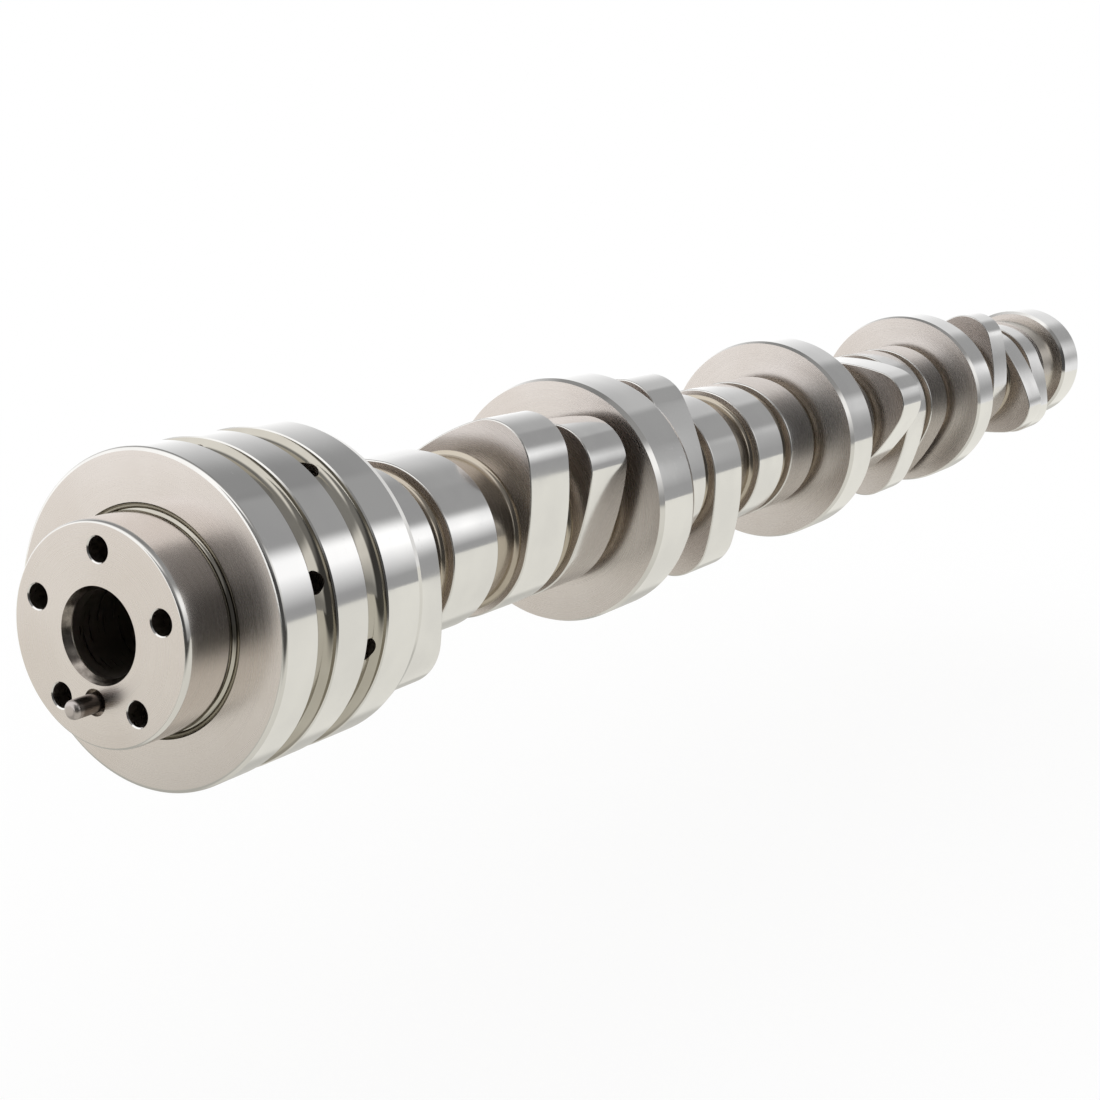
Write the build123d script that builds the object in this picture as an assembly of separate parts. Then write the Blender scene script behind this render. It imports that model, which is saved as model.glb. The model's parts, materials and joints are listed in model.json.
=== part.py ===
from build123d import *
import os
from math import acos, cos, radians, sin, tan

# Engine camshaft. All lengths are in millimetres and all angles in degrees.
# The shaft's axis is Y and its drive end points to -Y. The origin is on the axis,
# at the middle of the front journal. Angles round the axis go from +X towards +Z.

# Snout, on which the timing gear sits
snout_diameter = 37.6
snout_length = 10.9
snout_lead_in_depth = 0.5
snout_lead_in_length = 1.1
undercut_depth = 1.1

# Front journal and its two oil grooves
front_journal_diameter = 58.2
front_journal_length = 37.7
front_journal_chamfer = 0.7
front_groove_offset = 8.4
front_groove_width = 4.8
groove_land = 8.5
rear_groove_width = 5.2
groove_depth = 1.7
groove_corner_bevel = 0.9
groove_edge_break = 0.3

# Middle journals, each a little smaller than the one before it, and the rear journal
second_journal_diameter = 56.0
journal_diameter_step = 0.2
middle_journal_length = 16.9
lead_in_depth = 0.5
lead_in_length = 1.6
rear_journal_diameter = 43.6
rear_journal_length = 21.0
rear_journal_chamfer = 1.0

# Lobes
base_circle_diameter = 36.8
intake_reach = 26.9
exhaust_reach = 26.0
nose_radius = 10.0
flank_radius = 60.0
lobe_width = 15.4

# Spaces along one bay, from its first lobe to the journal behind it
first_lobe_gap = 4.4
front_pair_gap = 5.1
middle_gap = 10.6
rear_pair_gap = 5.4
journal_gap = 4.4
journal_hub_length = 9.28

# Angles of the lobe noses. Each bay is turned by a number of firing steps.
first_exhaust_angle = -57.0
second_exhaust_angle = 43.0
lobe_separation = 114.0
firing_step = 45.0
bay_steps = (0, 3, 5, 6)

# Turned stretches between the lobes, and the plain neck before the rear journal
core_diameter = 31.6
root_bevel = 1.2
neck_diameter = 38.0
neck_length = 19.4

# Centre bore for the bolt, with a lathe centre's seat at its mouth and its tapped end
# drawn at the tapping drill's size
bore_diameter = 14.6
bore_chamfer = 0.85
bore_beyond_groove = 14.0
tapped_diameter = 10.2
tapped_length = 26.0

# Oil passages, bored from the snout's face to the front groove
passage_count = 5
passage_circle_diameter = 28.2
passage_diameter = 4.3
passage_chamfer = 0.3
first_passage_angle = 15.7
passage_overrun = 1.5

# Radial oil holes in both grooves
radial_hole_diameter = 4.0
rear_hole_turn = 42.0

# Stepped dowel pin, its thicker seat pressed into the snout's face below a wider relief
dowel_diameter = 3.3
dowel_seat_diameter = 3.8
dowel_free_length = 5.4
dowel_seat_depth = 10.0
dowel_tip_bevel = 0.8
dowel_end_chamfer = 0.4
dowel_relief_diameter = 4.6
dowel_relief_depth = 1.5
dowel_circle_radius = 11.2
dowel_angle = -96.7

# Lathe centre in the rear face, its angle shared with the seat in the bore's mouth
centre_mouth_diameter = 9.0
centre_pilot_diameter = 3.2
centre_pilot_length = 6.0
centre_angle = 60.0

drill_point_angle = 118.0

# Places along the axis, worked out from the sizes above
front_face = -front_journal_length / 2
snout_face = front_face - snout_length
front_journal_rear = front_face + front_journal_length
bay_length = 4 * lobe_width + front_pair_gap + middle_gap + rear_pair_gap
bay_pitch = bay_length + journal_gap + middle_journal_length + journal_hub_length
first_bay_front = front_journal_rear + first_lobe_gap
last_bay = len(bay_steps) - 1
neck_front = first_bay_front + last_bay * bay_pitch + bay_length
rear_journal_front = neck_front + neck_length
rear_face = rear_journal_front + rear_journal_length

# Radii used more than once
core_radius = core_diameter / 2
base_radius = base_circle_diameter / 2
front_journal_radius = front_journal_diameter / 2
front_groove = front_face + front_groove_offset
rear_groove = front_groove + front_groove_width + groove_land
front_groove_middle = front_groove + front_groove_width / 2
rear_groove_middle = rear_groove + rear_groove_width / 2
bore_end = rear_groove + rear_groove_width + bore_beyond_groove


def on_circle(radius, angle, y):
    # point at an angle round the axis
    return Vector(radius * cos(radians(angle)), y, radius * sin(radians(angle)))


def turned(*points):
    # solid of revolution from (radius, y) corners
    outline = Polyline(*points, close=True)
    return revolve(make_face(outline), Axis.Y)


def disc(radius, y_front, y_rear, front_bevel=None, rear_bevel=None):
    # each bevel is a pair, its depth and its length along the axis
    corners = [(0, y_front)]
    if front_bevel:
        corners.append((radius - front_bevel[0], y_front))
        corners.append((radius, y_front + front_bevel[1]))
    else:
        corners.append((radius, y_front))
    if rear_bevel:
        corners.append((radius, y_rear - rear_bevel[1]))
        corners.append((radius - rear_bevel[0], y_rear))
    else:
        corners.append((radius, y_rear))
    corners.append((0, y_rear))
    return turned(*corners)


def hub(radius, y_front, y_rear):
    # stretch behind a journal, widening to a bevelled root at each end
    bevel = min(root_bevel, 0.45 * (y_rear - y_front))
    rim = radius + bevel
    return turned(
        (0, y_front),
        (rim, y_front),
        (radius, y_front + bevel),
        (radius, y_rear - bevel),
        (rim, y_rear),
        (0, y_rear),
    )


def oil_groove(y_front, width):
    # ring to cut away, with bevelled corners at its floor and broken edges at its mouth
    y_rear = y_front + width
    floor = front_journal_radius - groove_depth
    bevel = min(groove_corner_bevel, 0.45 * width)
    edge = front_journal_radius - groove_edge_break
    mouth = front_journal_radius + groove_edge_break
    return turned(
        (floor, y_front + bevel),
        (floor + bevel, y_front),
        (edge, y_front),
        (mouth, y_front - 2 * groove_edge_break),
        (mouth, y_rear + 2 * groove_edge_break),
        (edge, y_rear),
        (floor + bevel, y_rear),
        (floor, y_rear - bevel),
    )


def undercut():
    # ring of square section, set on its corner where the snout meets the journal's face
    radius = snout_diameter / 2
    return turned(
        (radius - undercut_depth, front_face),
        (radius, front_face - undercut_depth),
        (radius + undercut_depth, front_face),
        (radius, front_face + undercut_depth),
    )


def drilled(start, direction, diameter, depth, mouth_chamfer=0.0, mouth_angle=90.0, point=True):
    # blind hole, with a drill point unless it is bored flat, and a countersink where one is given
    radius = diameter / 2
    along = Plane(origin=start, z_dir=direction)
    rising = (Align.CENTER, Align.CENTER, Align.MIN)
    tool = along * Cylinder(radius, depth, align=rising)
    if point:
        point_height = radius / tan(radians(drill_point_angle / 2))
        tool += along * Pos(0, 0, depth) * Cone(radius, 0, point_height, align=rising)
    if mouth_chamfer > 0:
        mouth_depth = mouth_chamfer / tan(radians(mouth_angle / 2))
        tool += along * Cone(radius + mouth_chamfer, radius, mouth_depth, align=rising)
    return tool


def lobe(y_front, nose_angle, reach):
    # base circle, nose and two flanks, all arcs that meet tangentially
    nose_distance = reach - nose_radius
    flank_to_axis = flank_radius - base_radius
    flank_to_nose = flank_radius - nose_radius
    squares = flank_to_axis**2 + nose_distance**2 - flank_to_nose**2
    lean = acos(squares / (2 * flank_to_axis * nose_distance))
    flank_centre = Vector(flank_to_axis * cos(lean), flank_to_axis * sin(lean))
    nose_centre = Vector(nose_distance, 0)
    heel = flank_centre.normalized() * -base_radius
    shoulder = nose_centre + (nose_centre - flank_centre).normalized() * nose_radius
    halfway = (heel - flank_centre).normalized() + (shoulder - flank_centre).normalized()
    flank_middle = flank_centre + halfway.normalized() * flank_radius
    one_side = [Vector(p.X, p.Y) for p in (heel, flank_middle, shoulder)]
    other_side = [Vector(p.X, -p.Y) for p in one_side]
    outline = ThreePointArc(*one_side)
    outline += ThreePointArc(one_side[2], Vector(reach, 0), other_side[2])
    outline += ThreePointArc(other_side[2], other_side[1], other_side[0])
    outline += ThreePointArc(other_side[0], Vector(-base_radius, 0), one_side[0])
    rear = Plane(
        origin=(0, y_front + lobe_width, 0),
        x_dir=on_circle(1, nose_angle, 0),
        z_dir=(0, -1, 0),
    )
    return extrude(rear * make_face(outline), lobe_width)


def bay(y_front, turn):
    # four lobes, the exhaust and intake pairs of two cylinders, with plain grooves between them
    angles = (
        first_exhaust_angle,
        second_exhaust_angle + lobe_separation,
        first_exhaust_angle + lobe_separation,
        second_exhaust_angle,
    )
    reaches = (exhaust_reach, intake_reach, intake_reach, exhaust_reach)
    gaps = (front_pair_gap, middle_gap, rear_pair_gap)
    pieces = []
    y = y_front
    for index, (angle, reach) in enumerate(zip(angles, reaches)):
        pieces.append(lobe(y, angle + turn, reach))
        y += lobe_width
        if index < len(gaps):
            pieces.append(disc(core_radius, y, y + gaps[index]))
            y += gaps[index]
    return pieces


def shaft_blank():
    # everything that stands proud, from the snout to the rear journal
    journal_bevel = (lead_in_depth, lead_in_length)
    plain_bevel = (front_journal_chamfer, front_journal_chamfer)
    rear_bevel = (rear_journal_chamfer, rear_journal_chamfer)
    snout_bevel = (snout_lead_in_depth, snout_lead_in_length)
    pieces = [
        disc(snout_diameter / 2, snout_face, front_face, snout_bevel),
        disc(front_journal_radius, front_face, front_journal_rear, plain_bevel, journal_bevel),
        disc(core_radius, front_journal_rear, first_bay_front),
    ]
    for index, steps in enumerate(bay_steps):
        start = first_bay_front + index * bay_pitch
        pieces += bay(start, steps * firing_step)
        if index < last_bay:
            radius = (second_journal_diameter - index * journal_diameter_step) / 2
            journal_front = start + bay_length + journal_gap
            journal_rear = journal_front + middle_journal_length
            pieces.append(disc(core_radius, start + bay_length, journal_front))
            pieces.append(disc(radius, journal_front, journal_rear, journal_bevel, journal_bevel))
            pieces.append(hub(core_radius, journal_rear, journal_rear + journal_hub_length))
    pieces.append(disc(neck_diameter / 2, neck_front, rear_journal_front))
    rear_radius = rear_journal_diameter / 2
    pieces.append(disc(rear_radius, rear_journal_front, rear_face, rear_bevel, rear_bevel))
    return Part() + pieces


def front_cuts():
    # undercut, grooves, centre bore and oil ways at the drive end
    cuts = [undercut()]
    cuts.append(oil_groove(front_groove, front_groove_width))
    cuts.append(oil_groove(rear_groove, rear_groove_width))
    inward = (0, 1, 0)
    mouth = Vector(0, snout_face, 0)
    bore_depth = bore_end - snout_face
    cuts.append(drilled(mouth, inward, bore_diameter, bore_depth, bore_chamfer, centre_angle))
    cuts.append(drilled(Vector(0, bore_end, 0), inward, tapped_diameter, tapped_length))
    dowel_mouth = on_circle(dowel_circle_radius, dowel_angle, snout_face)
    cuts.append(drilled(dowel_mouth, inward, dowel_seat_diameter, dowel_seat_depth))
    cuts.append(drilled(dowel_mouth, inward, dowel_relief_diameter, dowel_relief_depth, point=False))
    passage_radius = passage_circle_diameter / 2
    passage_end = front_groove_middle + radial_hole_diameter / 2 + passage_overrun
    for index in range(passage_count):
        angle = first_passage_angle + index * 360 / passage_count
        start = on_circle(passage_radius, angle, snout_face)
        depth = passage_end - snout_face
        cuts.append(drilled(start, inward, passage_diameter, depth, passage_chamfer, point=False))
        cuts.append(radial_hole(passage_radius, angle, front_groove_middle))
        cuts.append(radial_hole(0, angle + rear_hole_turn, rear_groove_middle))
    return cuts


def radial_hole(from_radius, angle, y):
    # hole from inside the shaft out to the groove's floor
    outward = on_circle(1, angle, 0)
    rising = (Align.CENTER, Align.CENTER, Align.MIN)
    length = front_journal_radius - from_radius
    along = Plane(origin=on_circle(from_radius, angle, y), z_dir=outward)
    return along * Cylinder(radial_hole_diameter / 2, length, align=rising)


def lathe_centre():
    # cone and pilot hole in the rear face
    mouth = centre_mouth_diameter / 2
    pilot = centre_pilot_diameter / 2
    cone_depth = (mouth - pilot) / tan(radians(centre_angle / 2))
    return turned(
        (0, rear_face),
        (mouth, rear_face),
        (pilot, rear_face - cone_depth),
        (pilot, rear_face - cone_depth - centre_pilot_length),
        (0, rear_face - cone_depth - centre_pilot_length),
    )


def make_camshaft():
    return shaft_blank() - front_cuts() - lathe_centre()


def make_dowel_pin():
    # pressed home on the shoulder of its hole, with its bevelled tip outside
    free = dowel_diameter / 2
    seat = dowel_seat_diameter / 2
    pin = turned(
        (0, -dowel_free_length),
        (free - dowel_tip_bevel, -dowel_free_length),
        (free, dowel_tip_bevel - dowel_free_length),
        (free, dowel_relief_depth),
        (seat, dowel_relief_depth),
        (seat, dowel_seat_depth - dowel_end_chamfer),
        (seat - dowel_end_chamfer, dowel_seat_depth),
        (0, dowel_seat_depth),
    )
    return Pos(on_circle(dowel_circle_radius, dowel_angle, snout_face)) * pin


parts = {
    "camshaft": make_camshaft(),
    "dowel_pin": make_dowel_pin(),
}

os.makedirs("parts", exist_ok=True)
for name, part in parts.items():
    export_step(part, f"parts/{name}.step")
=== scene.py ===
import json
from math import acos, atan2, cos, hypot, pi, radians, sin, sqrt, tan
import bmesh
import bpy
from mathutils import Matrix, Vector


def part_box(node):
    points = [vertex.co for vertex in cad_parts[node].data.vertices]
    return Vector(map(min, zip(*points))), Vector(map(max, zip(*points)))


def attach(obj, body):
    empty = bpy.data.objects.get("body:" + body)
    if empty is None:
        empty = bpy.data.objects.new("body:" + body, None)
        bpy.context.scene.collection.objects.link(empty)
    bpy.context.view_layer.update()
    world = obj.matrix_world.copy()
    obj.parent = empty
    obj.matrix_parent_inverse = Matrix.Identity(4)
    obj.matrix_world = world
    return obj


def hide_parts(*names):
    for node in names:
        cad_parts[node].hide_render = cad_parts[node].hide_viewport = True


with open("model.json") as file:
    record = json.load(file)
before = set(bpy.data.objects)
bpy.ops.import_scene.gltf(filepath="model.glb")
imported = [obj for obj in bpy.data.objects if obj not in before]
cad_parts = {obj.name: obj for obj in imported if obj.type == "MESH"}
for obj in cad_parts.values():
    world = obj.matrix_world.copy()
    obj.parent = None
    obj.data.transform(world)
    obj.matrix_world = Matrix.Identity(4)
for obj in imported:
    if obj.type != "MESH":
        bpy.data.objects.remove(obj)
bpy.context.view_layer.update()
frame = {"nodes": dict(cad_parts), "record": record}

print("frame loaded:", sorted(frame["nodes"]))

mm = 0.001
mounts = {mount["name"]: mount for mount in frame["record"]["mounts"]}


def mountRadius(name):
    return mounts[name]["dims"]["r_mm"] * mm


def mountLength(name):
    return mounts[name]["dims"]["length_mm"] * mm


def mountPlace(name):
    return Vector(mounts[name]["pos_m"])


# small helpers for shader nodes

class NodeSheet:
    # wraps one material's node tree, so that a finish reads as a list of steps
    def __init__(self, name):
        self.material = bpy.data.materials.new(name)
        self.material.use_nodes = True
        self.tree = self.material.node_tree
        self.tree.nodes.clear()
        self.output = self.tree.nodes.new("ShaderNodeOutputMaterial")

    def node(self, kind, **settings):
        made = self.tree.nodes.new("ShaderNode" + kind)
        for key, value in settings.items():
            setattr(made, key, value)
        return made

    def feed(self, socket, value):
        if isinstance(value, bpy.types.NodeSocket):
            self.tree.links.new(value, socket)
        else:
            socket.default_value = value

    def math(self, operation, *values):
        made = self.node("Math", operation=operation)
        for socket, value in zip(made.inputs, values):
            self.feed(socket, value)
        return made.outputs[0]

    def mixColor(self, factor, first, second):
        made = self.node("Mix", data_type="RGBA")
        self.feed(made.inputs["Factor"], factor)
        self.feed(made.inputs[6], first)
        self.feed(made.inputs[7], second)
        return made.outputs[2]

    def mixShader(self, factor, first, second):
        made = self.node("MixShader")
        for socket, value in zip(made.inputs, (factor, first, second)):
            self.feed(socket, value)
        return made.outputs[0]

    def ramp(self, value, low, high, fromLow, fromHigh, smooth=True):
        # goes from low to high while the value goes over the given band
        made = self.node("MapRange", interpolation_type="SMOOTHSTEP" if smooth else "LINEAR")
        for socket, number in zip(made.inputs, (value, fromLow, fromHigh, low, high)):
            self.feed(socket, number)
        return made.outputs[0]

    def between(self, value, rise, fall):
        return self.math("MULTIPLY", self.ramp(value, 0.0, 1.0, *rise), self.ramp(value, 1.0, 0.0, *fall))

    def noise(self, vector, scale, detail=2.0, roughness=0.5):
        made = self.node("TexNoise")
        self.feed(made.inputs["Vector"], vector)
        made.inputs["Scale"].default_value = scale
        made.inputs["Detail"].default_value = detail
        made.inputs["Roughness"].default_value = roughness
        return made.outputs["Fac"]

    def place(self):
        return self.node("TexCoord").outputs["Object"]

    def axes(self):
        # object coordinates split into X, Y, Z
        split = self.node("SeparateXYZ")
        self.feed(split.inputs[0], self.place())
        return split.outputs

    def combine(self, x, y, z):
        made = self.node("CombineXYZ")
        for socket, value in zip(made.inputs, (x, y, z)):
            self.feed(socket, value)
        return made.outputs[0]

    def distance(self, first, second):
        squares = self.math("ADD", self.math("MULTIPLY", first, first),
                            self.math("MULTIPLY", second, second))
        return self.math("SQRT", squares)

    def angleRoundShaft(self, axes):
        return self.math("ARCTAN2", axes[2], axes[0])

    def bump(self, height, strength, distance, normal=None):
        made = self.node("Bump")
        made.inputs["Strength"].default_value = strength
        made.inputs["Distance"].default_value = distance
        self.feed(made.inputs["Height"], height)
        if normal is not None:
            self.feed(made.inputs["Normal"], normal)
        return made.outputs[0]

    def emission(self, color, strength):
        made = self.node("Emission")
        self.feed(made.inputs["Color"], color)
        self.feed(made.inputs["Strength"], strength)
        return made.outputs[0]

    def diffuse(self, color):
        made = self.node("BsdfDiffuse")
        self.feed(made.inputs["Color"], color)
        return made.outputs[0]

    def finish(self, shader):
        self.tree.links.new(shader, self.output.inputs["Surface"])
        return self.material


def steelShader(sheet, color, roughness, normal, anisotropic=0.0):
    shader = sheet.node("BsdfPrincipled")
    sheet.feed(shader.inputs["Base Color"], color)
    sheet.feed(shader.inputs["Roughness"], roughness)
    sheet.feed(shader.inputs["Normal"], normal)
    shader.inputs["Metallic"].default_value = 1.0
    if anisotropic:
        shader.inputs["Anisotropic"].default_value = anisotropic
        tangent = sheet.node("Tangent", direction_type="RADIAL", axis="Y")
        sheet.feed(shader.inputs["Tangent"], tangent.outputs[0])
    return shader.outputs[0]


def makeGroundSteel(name, look):
    # ground and polished: fine lines round the axis, a few handling scratches, cloudy gloss
    sheet = NodeSheet(name)
    axes, place = sheet.axes(), sheet.place()
    angle = sheet.angleRoundShaft(axes)
    around = sheet.combine(sheet.math("MULTIPLY", angle, look["linesAround"]),
                           sheet.math("MULTIPLY", axes[1], look["linesPerMetre"]), 0.0)
    lines = sheet.noise(around, 1.0, detail=3.0, roughness=0.65)
    cloud = sheet.noise(place, look["cloudScale"], detail=3.0)
    slanted = sheet.combine(sheet.math("MULTIPLY", angle, look["scratchesAround"]),
                            sheet.math("MULTIPLY", axes[1], look["scratchesPerMetre"]), look["scratchShift"])
    scratches = sheet.ramp(sheet.noise(slanted, 1.0, roughness=0.8), 0.0, 1.0, *look["scratchBand"])
    rough = sheet.math("ADD", sheet.ramp(cloud, look["roughLow"], look["roughHigh"], *look["roughBand"]),
                       sheet.math("MULTIPLY", scratches, look["scratchRough"]))
    tone = sheet.mixColor(sheet.ramp(cloud, 0.0, 1.0, *look["toneBand"]), look["colorA"], look["colorB"])
    # the pin's tone is lighter towards its tip
    if "colorTip" in look:
        tip = mountPlace("dowel_end").y - mountLength("dowel_end") / 2
        nearTip = sheet.ramp(sheet.math("SUBTRACT", axes[1], tip), 1.0, 0.0, *look["tipBand"])
        tone = sheet.mixColor(nearTip, tone, look["colorTip"])
    normal = sheet.bump(sheet.noise(place, look["waveScale"]), 1.0, look["waveDepth"])
    normal = sheet.bump(lines, look["lineStrength"], look["lineDepth"], normal)
    return sheet.finish(steelShader(sheet, tone, rough, normal))


def makeTurnedSteel(name, look):
    # turned faces and stretches: rings round the axis at tool-mark pitch over a soft satin
    sheet = NodeSheet(name)
    axes, place = sheet.axes(), sheet.place()
    radius, angle = sheet.distance(axes[0], axes[2]), sheet.angleRoundShaft(axes)
    marks = sheet.combine(sheet.math("MULTIPLY", radius, look["marksPerMetre"]),
                          sheet.math("MULTIPLY", axes[1], look["marksPerMetre"]),
                          sheet.math("MULTIPLY", angle, look["marksAround"]))
    rings = sheet.noise(marks, 1.0, detail=3.0, roughness=0.7)
    patches = sheet.noise(place, look["patchScale"], detail=4.0, roughness=0.6)
    tone = sheet.mixColor(sheet.ramp(patches, 0.0, 1.0, *look["toneBand"]), look["colorA"], look["colorB"])
    marked = sheet.ramp(rings, 0.0, look["ringTone"], *look["markBand"])
    tone = sheet.mixColor(marked, tone, look["colorMark"])
    rough = sheet.ramp(rings, look["roughLow"], look["roughHigh"], *look["roughBand"])
    normal = sheet.bump(sheet.noise(place, look["grainScale"]), look["grainStrength"], look["grainDepth"])
    normal = sheet.bump(rings, look["ringStrength"], look["ringDepth"], normal)
    return sheet.finish(steelShader(sheet, tone, rough, normal, look["anisotropic"]))


groundLook = {
    "colorA": (0.79, 0.785, 0.775, 1), "colorB": (0.735, 0.73, 0.725, 1), "toneBand": (0.35, 0.65),
    "linesAround": 0.4, "linesPerMetre": 2600.0, "lineStrength": 0.10, "lineDepth": 0.000004,
    "cloudScale": 55.0, "roughLow": 0.06, "roughHigh": 0.11, "roughBand": (0.3, 0.7),
    "scratchesAround": 14.0, "scratchesPerMetre": 900.0, "scratchShift": 3.7,
    "scratchBand": (0.66, 0.74), "scratchRough": 0.09, "waveScale": 240.0, "waveDepth": 0.000005,
}
lobeLook = dict(groundLook, linesPerMetre=1900.0, lineStrength=0.14, roughLow=0.08, roughHigh=0.13)
snoutLook = dict(groundLook, colorA=(0.82, 0.785, 0.75, 1), colorB=(0.77, 0.735, 0.70, 1),
                 roughLow=0.11, roughHigh=0.15)
edgeLook = dict(groundLook, colorA=(0.68, 0.67, 0.65, 1), colorB=(0.62, 0.61, 0.59, 1),
                roughLow=0.10, roughHigh=0.16, lineStrength=0.04)
pinLook = dict(groundLook, colorA=(0.19, 0.16, 0.14, 1), colorB=(0.13, 0.11, 0.095, 1),
               colorTip=(0.42, 0.385, 0.37, 1), tipBand=(0.0003, 0.0012), roughLow=0.28, roughHigh=0.36)
faceLook = {
    "colorA": (0.60, 0.56, 0.535, 1), "colorB": (0.565, 0.52, 0.49, 1), "colorMark": (0.52, 0.475, 0.445, 1),
    "marksPerMetre": 1900.0, "marksAround": 0.6, "patchScale": 40.0, "toneBand": (0.3, 0.7),
    "ringTone": 0.06, "markBand": (0.35, 0.7), "roughLow": 0.25, "roughHigh": 0.29,
    "roughBand": (0.25, 0.75), "grainScale": 5200.0, "grainStrength": 0.006, "grainDepth": 0.00002,
    "ringStrength": 0.007, "ringDepth": 0.000006, "anisotropic": 0.2,
}
# cores between lobes and journals: a warm turned tone, painted darker as shade in the gaps between them
shadedCoreLook = dict(faceLook, colorA=(0.46, 0.415, 0.345, 1), colorB=(0.39, 0.34, 0.28, 1), ringStrength=0.05,
                roughLow=0.13, roughHigh=0.20, marksPerMetre=1500.0)
# grooves and the snout's undercut: a brownish turned tone, painted darker as shade in these recesses
shadedGrooveLook = dict(faceLook, colorA=(0.48, 0.46, 0.41, 1), colorB=(0.40, 0.375, 0.325, 1),
                  roughLow=0.07, roughHigh=0.11, marksPerMetre=3000.0, anisotropic=0.0)
drilledLook = dict(faceLook, colorA=(0.50, 0.455, 0.41, 1), colorB=(0.38, 0.34, 0.30, 1),
                   roughLow=0.25, roughHigh=0.40, marksPerMetre=1800.0, ringStrength=0.2, anisotropic=0.0)
seatLook = dict(faceLook, colorA=(0.36, 0.325, 0.29, 1), colorB=(0.15, 0.13, 0.115, 1), patchScale=600.0,
                roughLow=0.14, roughHigh=0.24, marksPerMetre=2600.0, ringStrength=0.15, anisotropic=0.0)

groundSteel = makeGroundSteel("groundSteel", groundLook)
lobeSteel = makeGroundSteel("lobeSteel", lobeLook)
snoutSteel = makeGroundSteel("snoutSteel", snoutLook)
turnedFace = makeTurnedSteel("turnedFace", faceLook)
shadedTurnedCore = makeTurnedSteel("shadedTurnedCore", shadedCoreLook)
shadedTurnedGroove = makeTurnedSteel("shadedTurnedGroove", shadedGrooveLook)
brokenEdge = makeGroundSteel("brokenEdge", edgeLook)
drilledSteel = makeTurnedSteel("drilledSteel", drilledLook)
seatSteel = makeTurnedSteel("seatSteel", seatLook)
pinSteel = makeGroundSteel("pinSteel", pinLook)
finishes = [groundSteel, lobeSteel, snoutSteel, turnedFace, shadedTurnedCore, shadedTurnedGroove, brokenEdge,
            drilledSteel]
print("finishes made")

# The camshaft's skin is a stack of rings round the Y axis. Each band of faces between two
# rings has one finish. Sizes that are not in the record's mounts are here, in millimetres.
shaft = {
    "pointsAround": 180, "arcSteps": 5, "sharpAngle": 28.0,
    "snoutLeadInDepth": 0.5, "snoutLeadInLength": 1.1, "leadInSteps": 10,
    "undercut": 1.1, "undercutSteps": 12,
    "frontJournalLength": 37.7, "frontChamfer": 0.7, "leadInDepth": 0.5, "leadInLength": 1.6,
    "frontGrooveOffset": 8.4, "frontGrooveWidth": 4.8, "grooveLand": 8.5, "rearGrooveWidth": 5.2,
    "grooveDepth": 1.7, "grooveCorner": 1.5, "grooveEdge": 0.3,
    "lobeWidth": 15.4, "baseRadius": 18.4, "noseRadius": 10.0, "flankRadius": 60.0,
    "intakeReach": 26.9, "exhaustReach": 26.0, "lobeEdge": 0.3,
    "firstGap": 4.4, "gaps": (5.1, 10.6, 5.4), "journalGap": 4.4, "hubLength": 9.28,
    "exhaustAngles": (-57.0, 43.0), "lobeSeparation": 114.0, "firingStep": 45.0, "baySteps": (0, 3, 5, 6),
    "coreRadius": 15.8, "rootFillet": 1.2, "filletShare": 0.45, "neckRadius": 19.0, "rearChamfer": 1.0,
}


def lobeRadius(reach, noseAngle):
    # distance from the axis to the cam's outline, in metres, at an angle round the shaft
    base, nose, flank = (shaft[key] * mm for key in ("baseRadius", "noseRadius", "flankRadius"))
    noseAt = reach * mm - nose
    flankAt = flank - base
    lean = acos((flankAt**2 + noseAt**2 - (flank - nose)**2) / (2 * flankAt * noseAt))
    flankX, flankY = flankAt * cos(lean), -flankAt * sin(lean)
    away = hypot(noseAt - flankX, flankY)
    shoulder = atan2(-flankY / away * nose, noseAt + (noseAt - flankX) / away * nose)
    turn = radians(noseAngle)

    def radius(angle):
        off = abs((angle - turn + pi) % (2 * pi) - pi)
        if off < shoulder:
            return noseAt * cos(off) + sqrt(nose**2 - (noseAt * sin(off))**2)
        if off < pi - lean:
            return flankAt * cos(off + lean) + sqrt(flank**2 - (flankAt * sin(off + lean))**2)
        return base

    return radius


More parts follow.
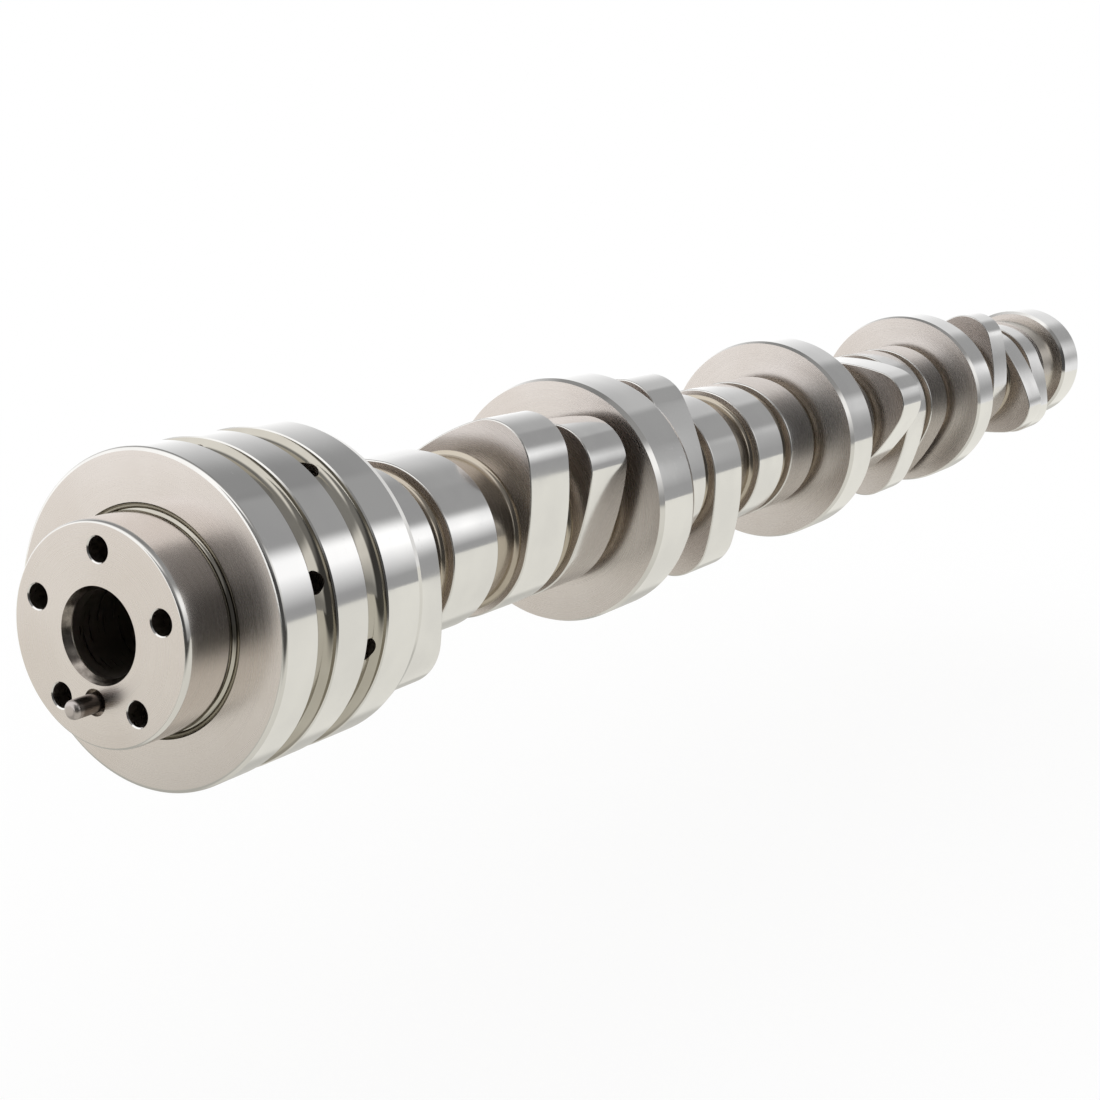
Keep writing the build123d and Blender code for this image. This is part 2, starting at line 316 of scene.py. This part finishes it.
class Skin:
    # collects rings from front to rear, then turns them into one closed mesh
    def __init__(self):
        self.rings = []

    def ring(self, y, radius, finish, inset=0.0):
        self.rings.append((y, radius, finish, inset))

    def risingEdge(self, y, radius, size, face, finish):
        # from a face that looks forward, over a rounded edge, on to the surface behind it
        steps = shaft["arcSteps"]
        for step in range(steps + 1):
            t = step / steps * pi / 2
            self.ring(y + size * (1 - cos(t)), radius, finish if step else face, size * (1 - sin(t)))

    def fallingEdge(self, y, radius, size, surface, finish):
        # from a surface, over a rounded edge, on to the face that ends it
        steps = shaft["arcSteps"]
        for step in range(steps + 1):
            t = (1 - step / steps) * pi / 2
            self.ring(y - size * (1 - cos(t)), radius, finish if step else surface, size * (1 - sin(t)))

    def floor(self, yFront, yRear, radius, corner, face, finish):
        # a round stretch between two faces, with a rounded corner at the foot of each
        steps = shaft["arcSteps"]
        for step in range(steps + 1):
            t = step / steps * pi / 2
            self.ring(yFront + corner * (1 - cos(t)), radius + corner * (1 - sin(t)),
                      finish if step else face)
        for step in range(steps + 1):
            t = (1 - step / steps) * pi / 2
            self.ring(yRear - corner * (1 - cos(t)), radius + corner * (1 - sin(t)), finish)

    def build(self, name):
        count = shaft["pointsAround"]
        angles = [2 * pi * k / count for k in range(count)]
        mesh = bmesh.new()
        rows = []
        for y, radius, _, inset in self.rings:
            row = []
            for angle in angles:
                r = (radius(angle) if callable(radius) else radius) - inset
                row.append(mesh.verts.new((r * cos(angle), y, r * sin(angle))))
            rows.append(row)
        for before, after, ring in zip(rows, rows[1:], self.rings[1:]):
            finish = ring[2]
            for k in range(count):
                n = (k + 1) % count
                face = mesh.faces.new((before[k], before[n], after[n], after[k]))
                face.material_index = finishes.index(finish)
        front = mesh.faces.new(rows[0][::-1])
        rear = mesh.faces.new(rows[-1])
        front.material_index = rear.material_index = finishes.index(turnedFace)
        return meshObject(name, mesh, finishes)


def meshObject(name, mesh, materials):
    # turns a bmesh into an object of the scene
    bmesh.ops.recalc_face_normals(mesh, faces=mesh.faces[:])
    data = bpy.data.meshes.new(name)
    mesh.to_mesh(data)
    mesh.free()
    for material in materials:
        data.materials.append(material)
    made = bpy.data.objects.new(name, data)
    bpy.context.scene.collection.objects.link(made)
    return made


def addJournal(skin, middle, radius, length, bevel):
    # a bearing land between two faces; the bevel is its depth and its length along the axis
    depth, along = bevel
    yFront, yRear = middle - length / 2, middle + length / 2
    skin.ring(yFront, radius - depth, turnedFace)
    skin.ring(yFront + along, radius, brokenEdge)
    skin.ring(yRear - along, radius, groundSteel)
    skin.ring(yRear, radius - depth, brokenEdge)


def addGroove(skin, yFront, width, surface):
    # an oil groove with a rounded floor and broken edges
    depth, corner, edge = (shaft[key] * mm for key in ("grooveDepth", "grooveCorner", "grooveEdge"))
    yRear = yFront + width
    skin.ring(yFront - edge, surface, groundSteel)
    skin.ring(yFront, surface - edge, brokenEdge)
    skin.floor(yFront, yRear, surface - depth, corner, shadedTurnedGroove, shadedTurnedGroove)
    skin.ring(yRear, surface - edge, shadedTurnedGroove)
    skin.ring(yRear + edge, surface, brokenEdge)


def addLobe(skin, yFront, noseAngle, reach):
    outline = lobeRadius(reach, noseAngle)
    width, edge = shaft["lobeWidth"] * mm, shaft["lobeEdge"] * mm
    skin.risingEdge(yFront, outline, edge, turnedFace, brokenEdge)
    skin.fallingEdge(yFront + width, outline, edge, lobeSteel, brokenEdge)


def addCore(skin, yFront, yRear):
    # the plain stretch between two lobes, or between a lobe and a journal
    corner = min(shaft["rootFillet"] * mm, (yRear - yFront) * shaft["filletShare"])
    skin.floor(yFront, yRear, shaft["coreRadius"] * mm, corner, turnedFace, shadedTurnedCore)


def addSnout(skin, size, frontFace):
    # the snout and the undercut at its root
    radius, under = mountRadius("gear_snout"), size["undercut"]
    depth, length, steps = size["snoutLeadInDepth"], size["snoutLeadInLength"], shaft["leadInSteps"]
    snoutFace = mountPlace("oil_ports").y
    for step in range(steps + 1):
        t = step / steps * pi / 2
        skin.ring(snoutFace + length * (1 - cos(t)), radius - depth * (1 - sin(t)), brokenEdge)
    skin.ring(frontFace - under, radius, snoutSteel)
    steps = shaft["undercutSteps"]
    for step in range(1, steps):
        t = -pi / 2 + step / steps * pi * 1.5    # three quarters of a circle
        skin.ring(frontFace + under * sin(t), radius - under * cos(t), shadedTurnedGroove)
    skin.ring(frontFace, radius + under, shadedTurnedGroove)


def addFrontJournal(skin, size, frontFace, frontRear):
    radius = mountRadius("front_journal")
    skin.risingEdge(frontFace, radius, size["frontChamfer"], turnedFace, brokenEdge)
    groove = frontFace + size["frontGrooveOffset"]
    addGroove(skin, groove, size["frontGrooveWidth"], radius)
    groove += size["frontGrooveWidth"] + size["grooveLand"]
    addGroove(skin, groove, size["rearGrooveWidth"], radius)
    skin.ring(frontRear - size["leadInLength"], radius, groundSteel)
    skin.ring(frontRear, radius - size["leadInDepth"], brokenEdge)


def addBays(skin, size, y):
    # four bays of four lobes, with a journal behind each of the first three
    bevel = (size["leadInDepth"], size["leadInLength"])
    journals = ("second_journal", "third_journal", "fourth_journal")
    exhaust, secondExhaust = shaft["exhaustAngles"]
    separation = shaft["lobeSeparation"]
    angles = (exhaust, secondExhaust + separation, exhaust + separation, secondExhaust)
    reaches = [shaft[key] for key in ("exhaustReach", "intakeReach", "intakeReach", "exhaustReach")]
    gap = size["firstGap"]
    for bay, steps in enumerate(shaft["baySteps"]):
        spaces = [gap] + [space * mm for space in shaft["gaps"]]
        for angle, reach, space in zip(angles, reaches, spaces):
            addCore(skin, y, y + space)
            y += space
            addLobe(skin, y, angle + steps * shaft["firingStep"], reach)
            y += size["lobeWidth"]
        if bay < len(journals):
            name = journals[bay]
            addCore(skin, y, y + size["journalGap"])
            length = mountLength(name) + 2 * bevel[1]
            addJournal(skin, mountPlace(name).y, mountRadius(name), length, bevel)
            y = mountPlace(name).y + length / 2
            gap = size["hubLength"]
    return y


def makeCamshaft():
    skin = Skin()
    size = {key: value * mm for key, value in shaft.items() if isinstance(value, float)}
    frontFace = mountPlace("thrust_face").y
    frontRear = frontFace + size["frontJournalLength"]
    addSnout(skin, size, frontFace)
    addFrontJournal(skin, size, frontFace, frontRear)
    y = addBays(skin, size, frontRear)

    # plain neck and rear journal
    chamfer = size["rearChamfer"]
    length = mountLength("rear_journal") + 2 * chamfer
    middle = mountPlace("rear_journal").y
    skin.ring(y, size["neckRadius"], turnedFace)
    skin.ring(middle - length / 2, size["neckRadius"], shadedTurnedCore)
    addJournal(skin, middle, mountRadius("rear_journal"), length, (chamfer, chamfer))
    return skin.build("camshaft_body")


# holes, cut with closed tools that carry the finish of the wall they leave
holes = {
    "outside": 0.5, "boreSeat": 0.85, "burnish": 0.07, "tappedBack": 1.0, "tappedPoint": 3.0,
    "passageChamfer": 0.2, "passageOverrun": 3.5, "firstPassage": 15.7,
    "radialRadius": 2.0, "radialStart": 4.0, "rearTurn": 42.0, "reliefRadius": 2.3, "reliefDepth": 1.5,
    "centreMouth": 4.5, "centreFlare": 0.3, "centrePilot": 1.6, "pilotLength": 6.0, "pilotPoint": 1.0,
    "centreAngle": 60.0, "drillPoint": 118.0, "segments": 48,
}


def turnedTool(name, start, direction, profile, finish, segments, mouth=()):
    # closed solid of revolution from (distance along, radius) pairs, beginning and ending on its
    # axis; the bands after the first can have finishes of their own
    mesh = bmesh.new()
    along = Vector(direction).normalized()
    side = along.orthogonal().normalized()
    across = along.cross(side)
    rows = []
    for distance, radius in profile:
        centre = Vector(start) + along * distance
        if radius == 0:
            rows.append([mesh.verts.new(centre)])
            continue
        rows.append([mesh.verts.new(centre + (side * cos(2 * pi * k / segments)
                                              + across * sin(2 * pi * k / segments)) * radius)
                     for k in range(segments)])
    for band, (before, after) in enumerate(zip(rows, rows[1:])):
        for k in range(segments):
            n = (k + 1) % segments
            corners = [before[k % len(before)], before[n % len(before)],
                       after[n % len(after)], after[k % len(after)]]
            unique = [v for i, v in enumerate(corners) if v not in corners[:i]]
            if len(unique) > 2:
                face = mesh.faces.new(unique)
                face.material_index = band if band <= len(mouth) else 0
    return meshObject(name, mesh, (finish, *mouth))


def holeProfile(radius, depth, chamfer=0.0, angle=90.0, point=True, burnish=0.0):
    # starts a little outside the face, so that no two faces of tool and shaft coincide
    outside = holes["outside"] * mm
    slope = tan(radians(angle / 2))
    rows = [(-outside, 0), (-outside, radius + chamfer + outside * slope if chamfer else radius)]
    if chamfer:
        rows.append(((chamfer - burnish) / slope, radius + burnish))
    if burnish:
        rows.append((chamfer / slope + burnish, radius))
    rows.append((depth, radius))
    if point:
        rows.append((depth + radius / tan(radians(holes["drillPoint"] / 2)), 0))
    else:
        rows.append((depth, 0))
    return rows


def snoutTools(size, face, segments):
    # the centre bore with its seat, its tapped end and the relief round the dowel pin
    inward = (0, 1, 0)
    bore = mountPlace("centre_bore").y + mountLength("centre_bore") / 2 - face
    tapped = mountPlace("bolt_thread").y + mountLength("bolt_thread") / 2 - face - bore
    boreProfile = holeProfile(mountRadius("centre_bore"), bore, size["boreSeat"],
                              holes["centreAngle"], burnish=size["burnish"])
    thread, back = mountRadius("bolt_thread"), size["tappedBack"]
    tappedProfile = [(-back, 0), (-back, thread), (tapped, thread), (tapped + size["tappedPoint"], 0)]
    dowel = mountPlace("dowel_end")
    relief = holeProfile(size["reliefRadius"], size["reliefDepth"], point=False)
    return [turnedTool("bore", (0, face, 0), inward, boreProfile, drilledSteel, 2 * segments,
                       (seatSteel, brokenEdge)),
            turnedTool("tapped", (0, face + bore, 0), inward, tappedProfile, drilledSteel, segments),
            turnedTool("relief", (dowel.x, face, dowel.z), inward, relief, drilledSteel, segments)]


def oilTools(size, face, segments):
    # five passages along the shaft, and from each groove five radial holes
    tools = []
    dims = mounts["oil_ports"]["dims"]
    pitch = dims["pcd_mm"] / 2 * mm
    half = shaft["frontGrooveWidth"] / 2
    frontGroove = mountPlace("thrust_face").y + (shaft["frontGrooveOffset"] + half) * mm
    rearGroove = frontGroove + (half + shaft["grooveLand"] + shaft["rearGrooveWidth"] / 2) * mm
    passage = holeProfile(dims["hole_r_mm"] * mm, frontGroove - face + size["passageOverrun"],
                          size["passageChamfer"])
    reach, radial = mountRadius("front_journal"), size["radialRadius"]
    for index in range(dims["count"]):
        angle = radians(holes["firstPassage"]) + index * 2 * pi / dims["count"]
        start = (pitch * cos(angle), face, pitch * sin(angle))
        tools.append(turnedTool("passage", start, (0, 1, 0), passage, drilledSteel, segments, (brokenEdge,)))
        rearAngle = angle + radians(holes["rearTurn"])
        for y, turn, inner in ((frontGroove, angle, pitch), (rearGroove, rearAngle, size["radialStart"])):
            outward = Vector((cos(turn), 0, sin(turn)))
            profile = [(0, 0), (0, radial), (reach - inner, radial), (reach - inner, 0)]
            tools.append(turnedTool("radial", outward * inner + Vector((0, y, 0)), outward, profile,
                                    drilledSteel, segments // 2))
    return tools


def centreTool(size, segments):
    # the lathe centre in the rear face
    rearFace = mountPlace("rear_journal").y + mountLength("rear_journal") / 2 + shaft["rearChamfer"] * mm
    mouth, pilot, outside = size["centreMouth"], size["centrePilot"], size["outside"]
    cone = (mouth - pilot) / tan(radians(holes["centreAngle"] / 2))
    end = cone + size["pilotLength"]
    profile = [(-outside, 0), (-outside, mouth + size["centreFlare"]), (cone, pilot),
               (end, pilot), (end + size["pilotPoint"], 0)]
    return turnedTool("centre", (0, rearFace, 0), (0, -1, 0), profile, drilledSteel, segments)


def cutHoles(body):
    size = {key: value * mm for key, value in holes.items() if isinstance(value, float)}
    segments = holes["segments"]
    face = mountPlace("oil_ports").y
    tools = snoutTools(size, face, segments) + oilTools(size, face, segments) + [centreTool(size, segments)]
    for tool in tools:
        cut = body.modifiers.new("cut", "BOOLEAN")
        cut.operation = "DIFFERENCE"
        cut.solver = "EXACT"
        cut.material_mode = "TRANSFER"
        cut.object = tool
    bpy.context.view_layer.update()
    depsgraph = bpy.context.evaluated_depsgraph_get()
    cutMesh = bpy.data.meshes.new_from_object(body.evaluated_get(depsgraph))
    body.modifiers.clear()
    body.data = cutMesh
    for tool in tools:
        bpy.data.objects.remove(tool)


def sharpen(body, limit):
    # smooth along the surfaces, sharp where two of them meet at an angle or change their finish
    mesh = bmesh.new()
    mesh.from_mesh(body.data)
    for face in mesh.faces:
        face.smooth = True
    for edge in mesh.edges:
        if len(edge.link_faces) == 2:
            one, other = (face.material_index for face in edge.link_faces)
            edge.smooth = one == other and edge.calc_face_angle(0.0) < radians(limit)
    mesh.to_mesh(body.data)
    mesh.free()


camshaft = makeCamshaft()
print("skin rings built:", len(camshaft.data.polygons), "faces")
cutHoles(camshaft)
sharpen(camshaft, shaft["sharpAngle"])
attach(camshaft, "root")
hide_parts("camshaft")
print("holes cut:", len(camshaft.data.polygons), "faces")

# dowel pin, with a round-nosed tip; sizes in millimetres
dowelPin = {"tipRound": 0.9, "seatRadius": 1.9, "seatChamfer": 0.4, "segments": 64, "arcSteps": 6,
            "sharpAngle": 35.0}


def makeDowelPin():
    low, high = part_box("dowel_pin")
    place = mountPlace("dowel_end")
    free = mountRadius("dowel_end")
    seat, chamfer, tip = (dowelPin[key] * mm for key in ("seatRadius", "seatChamfer", "tipRound"))
    shoulder = place.y + mountLength("dowel_end") / 2 - low.y
    length = high.y - low.y
    profile = [(0, 0)]
    steps = dowelPin["arcSteps"]
    for step in range(steps + 1):
        t = step / steps * pi / 2
        profile.append((tip * (1 - cos(t)), free - tip * (1 - sin(t))))
    profile += [(shoulder, free), (shoulder, seat), (length - chamfer, seat),
                (length, seat - chamfer), (length, 0)]
    return turnedTool("dowel_pin_body", (place.x, low.y, place.z), (0, 1, 0), profile,
                      pinSteel, dowelPin["segments"])


pin = makeDowelPin()
sharpen(pin, dowelPin["sharpAngle"])
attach(pin, "root")
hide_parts("dowel_pin")
print("dowel pin made")

# studio: a white table and backdrop. In mirror rays the table glows cream, a painted reflection of a lit
# table, brighter towards the front left as a painted pool of light, and darkened by painted shadows on the
# camera's side and beside the shaft. Places are in metres from the table's middle.
tableTop = {
    "height": -0.115, "radius": 1.05, "centre": (0.0, 0.24), "segments": 128,
    "glow": (0.895, 0.88, 0.815, 1), "shadowShare": 0.3, "mirrorShadow": 0.5,
    "diagonal": 0.7, "cameraFade": (0.33, 0.56), "cameraLevel": 0.09,
    "shadeIn": (-0.25, -0.12), "shadeOut": (-0.045, -0.008), "shaftShade": 0.66,
    "frontLeft": (0.2, 0.5), "frontLeftGlow": 1.4,
}


def makeTable():
    mesh = bmesh.new()
    bmesh.ops.create_circle(mesh, cap_ends=True, segments=tableTop["segments"], radius=tableTop["radius"])
    data = bpy.data.meshes.new("table")
    mesh.to_mesh(data)
    mesh.free()
    table = bpy.data.objects.new("table", data)
    table.location = (*tableTop["centre"], tableTop["height"])
    bpy.context.scene.collection.objects.link(table)

    sheet = NodeSheet("tableWhite")
    axes = sheet.axes()
    towardsCamera = sheet.math("MULTIPLY", sheet.math("SUBTRACT", axes[0], axes[1]), tableTop["diagonal"])
    frontLeft = sheet.math("MULTIPLY", sheet.math("ADD", axes[0], axes[1]), -tableTop["diagonal"])
    # painted shadow of the camera on the mirror glow, on the camera's side of the table
    cameraShadow = sheet.ramp(towardsCamera, 1.0, tableTop["cameraLevel"], *tableTop["cameraFade"])
    # painted shadow of the shaft, a dark strip in the mirror glow beside it
    shaded = sheet.between(axes[0], tableTop["shadeIn"], tableTop["shadeOut"])
    shaftShadow = sheet.ramp(shaded, 1.0, tableTop["shaftShade"], 0.0, 1.0)
    share = sheet.math("MULTIPLY", cameraShadow, shaftShadow)
    # the cream mirror glow darkened by both painted shadows
    shadedGlow = sheet.mixColor(share, (0, 0, 0, 1), tableTop["glow"])
    # painted pool of light: the mirror glow is brighter towards the front left
    strength = sheet.ramp(frontLeft, 1.0, tableTop["frontLeftGlow"], *tableTop["frontLeft"])
    glow = sheet.emission(shadedGlow, strength)
    white = (1, 1, 1, 1)
    diffuse = sheet.diffuse(white)
    shown = sheet.mixShader(tableTop["shadowShare"], sheet.emission(white, 1.0), diffuse)
    mirrored = sheet.mixShader(tableTop["mirrorShadow"], glow, sheet.diffuse(shadedGlow))
    rays = sheet.node("LightPath").outputs
    byCamera = sheet.mixShader(rays["Is Camera Ray"], diffuse, shown)
    mirror = sheet.math("MAXIMUM", rays["Is Glossy Ray"], rays["Is Transmission Ray"])
    data.materials.append(sheet.finish(sheet.mixShader(mirror, byCamera, mirrored)))
    data.materials[0].cycles.emission_sampling = "NONE"


# Polished metal sees a room of soft boxes and grey walls, painted on a bowl by direction:
# azimuth from the shaft's rear end towards its right side, and elevation above the table.
# Both are in degrees, and each pair is the band over which a wall or light fades.
room = {
    "radius": 20.0, "segments": (64, 32), "facing": 0.25,
    "leftLight": 1.16, "leftTop": 0.58, "leftFade": (6.0, 32.0),
    "leftHigh": 0.62, "leftHighFade": (31.0, 41.0),
    "leftBehind": 0.87, "leftBehindFade": (-26.0, -8.0), "leftRight": 0.92, "leftRightFade": (0.0, 12.0),
    "edgeFoot": 13.5, "edgeSlope": 0.72, "edgeLean": 8.0, "edgeLeanFade": (24.0, 33.0),
    "edgeFade": (-3.0, 3.0), "greyWall": 0.385,
    "stripLight": 0.86, "stripRise": (-1.0, 21.0), "stripFall": (31.0, 44.0),
    "stripBase": 0.08, "nearFade": (25.0, 34.0), "middleShare": 0.3, "middleRise": (11.0, 15.0),
    "middleFall": (20.5, 23.5), "windowShare": 0.4, "windowRise": (14.2, 15.0), "windowFall": (16.2, 17.0),
    "cameraAzimuth": 133.0, "cameraWide": (44.0, 68.0), "cameraHigh": (48.0, 62.0),
    "cameraDark": 0.08, "cameraGrey": 0.3, "tripodFade": (16.0, 30.0), "behindLight": 1.45,
}


def leftWall(sheet, azimuth, elevation):
    # bright backdrop on the left, fading upwards
    light = sheet.ramp(elevation, room["leftLight"], room["leftTop"], *room["leftFade"], smooth=False)
    high = sheet.ramp(elevation, 1.0, room["leftHigh"], *room["leftHighFade"])
    behind = sheet.ramp(azimuth, 1.0, room["leftBehind"], *room["leftBehindFade"])
    right = sheet.ramp(azimuth, 1.0, room["leftRight"], *room["leftRightFade"])
    for share in (high, behind, right):
        light = sheet.math("MULTIPLY", light, share)
    return light


def beyondEdge(sheet, azimuth, elevation):
    # 1 beyond the backdrop's slanted right edge, where the wall is grey
    foot = sheet.math("SUBTRACT", room["edgeFoot"], sheet.math("MULTIPLY", elevation, room["edgeSlope"]))
    edge = sheet.math("ADD", sheet.math("MAXIMUM", foot, 0.0),
                      sheet.ramp(elevation, 0.0, room["edgeLean"], *room["edgeLeanFade"]))
    return sheet.ramp(sheet.math("SUBTRACT", azimuth, edge), 0.0, 1.0, *room["edgeFade"])


def rightWall(sheet, azimuth, around):
    # grey, with a strip light along the shaft's right side that is strongest near the front
    rise = sheet.ramp(around, 0.0, 1.0, *room["stripRise"], smooth=False)
    fall = sheet.ramp(around, 1.0, 0.0, *room["stripFall"])
    near = sheet.ramp(azimuth, 0.0, 1.0, *room["nearFade"])
    middle = sheet.between(azimuth, room["middleRise"], room["middleFall"])
    window = sheet.between(azimuth, room["windowRise"], room["windowFall"])
    strength = sheet.math("ADD", near, sheet.math("MULTIPLY", middle, room["middleShare"]))
    strength = sheet.math("ADD", strength, sheet.math("MULTIPLY", window, room["windowShare"]))
    strength = sheet.math("ADD", strength, room["stripBase"])
    strip = sheet.math("MULTIPLY", sheet.math("MULTIPLY", rise, fall), strength)
    return sheet.math("ADD", room["greyWall"], sheet.math("MULTIPLY", strip, room["stripLight"]))


def cameraSide(sheet, azimuth, elevation):
    # behind the camera: dark round the tripod, light above it and on the left
    aside = sheet.math("ABSOLUTE", sheet.math("SUBTRACT", azimuth, room["cameraAzimuth"]))
    dark = sheet.math("MULTIPLY", sheet.ramp(aside, 1.0, 0.0, *room["cameraWide"]),
                      sheet.ramp(elevation, 1.0, 0.0, *room["cameraHigh"]))
    tripod = sheet.ramp(elevation, room["cameraDark"], room["cameraGrey"], *room["tripodFade"])
    light = sheet.math("MULTIPLY", sheet.math("SUBTRACT", 1.0, dark), room["behindLight"])
    return sheet.math("ADD", sheet.math("MULTIPLY", dark, tripod), light)


def blend(sheet, share, first, second):
    # the first where the share is 0, the second where it is 1
    return sheet.math("ADD", sheet.math("MULTIPLY", first, sheet.math("SUBTRACT", 1.0, share)),
                      sheet.math("MULTIPLY", second, share))


def roomLight(sheet):
    # brightness of the room by direction, as the metal sees it
    axes = sheet.axes()
    degree = 180 / pi
    flat = sheet.distance(axes[0], axes[1])
    azimuth = sheet.math("MULTIPLY", sheet.math("ARCTAN2", axes[0], axes[1]), degree)
    elevation = sheet.math("MULTIPLY", sheet.math("ARCTAN2", axes[2], flat), degree)
    around = sheet.math("MULTIPLY", sheet.angleRoundShaft(axes), degree)
    rear = blend(sheet, beyondEdge(sheet, azimuth, elevation),
                 leftWall(sheet, azimuth, elevation), rightWall(sheet, azimuth, around))
    reach = room["facing"] * room["radius"]
    facing = sheet.ramp(axes[1], 0.0, 1.0, -reach, reach)
    return blend(sheet, facing, cameraSide(sheet, azimuth, elevation), rear)


def makeBowl():
    mesh = bmesh.new()
    across, up = room["segments"]
    bmesh.ops.create_uvsphere(mesh, u_segments=across, v_segments=up, radius=room["radius"])
    data = bpy.data.meshes.new("room")
    mesh.to_mesh(data)
    mesh.free()
    bowl = bpy.data.objects.new("room", data)
    bpy.context.scene.collection.objects.link(bowl)
    sheet = NodeSheet("roomLight")
    data.materials.append(sheet.finish(sheet.emission((1, 1, 1, 1), roomLight(sheet))))
    data.materials[0].cycles.emission_sampling = "NONE"
    bowl.visible_camera = False
    bowl.visible_diffuse = False
    bowl.visible_shadow = False
    bowl.visible_transmission = False


def makeWorld():
    world = bpy.data.worlds.new("studioAir")
    bpy.context.scene.world = world
    world.use_nodes = True
    background = world.node_tree.nodes["Background"]
    background.inputs["Color"].default_value = (1, 1, 1, 1)
    background.inputs["Strength"].default_value = 1.0
    world.cycles_visibility.glossy = False


# camera fitted to the photograph, whose frame is 1100 pixels each way
view = {
    "place": (0.203288, -0.226608, 0.070541), "panDegrees": 30.0088, "tiltDegrees": 8.1733,
    "focalPixels": 1756.4, "framePixels": 1100.0, "middleX": 585.73, "middleY": 440.36, "sensor": 36.0,
    "clip": (0.01, 50.0),
}


def makeCamera():
    data = bpy.data.cameras.new("camera")
    pixels = view["framePixels"]
    data.sensor_width = view["sensor"]
    data.lens = view["focalPixels"] / pixels * view["sensor"]
    data.shift_x = (pixels / 2 - view["middleX"]) / pixels
    data.shift_y = (view["middleY"] - pixels / 2) / pixels
    data.clip_start, data.clip_end = view["clip"]
    camera = bpy.data.objects.new("camera", data)
    camera.location = view["place"]
    camera.rotation_euler = (radians(90 - view["tiltDegrees"]), 0, radians(view["panDegrees"]))
    bpy.context.scene.collection.objects.link(camera)
    bpy.context.scene.camera = camera


makeTable()
makeBowl()
makeWorld()
makeCamera()
bpy.context.scene.view_settings.view_transform = "Standard"
print("studio and camera set")
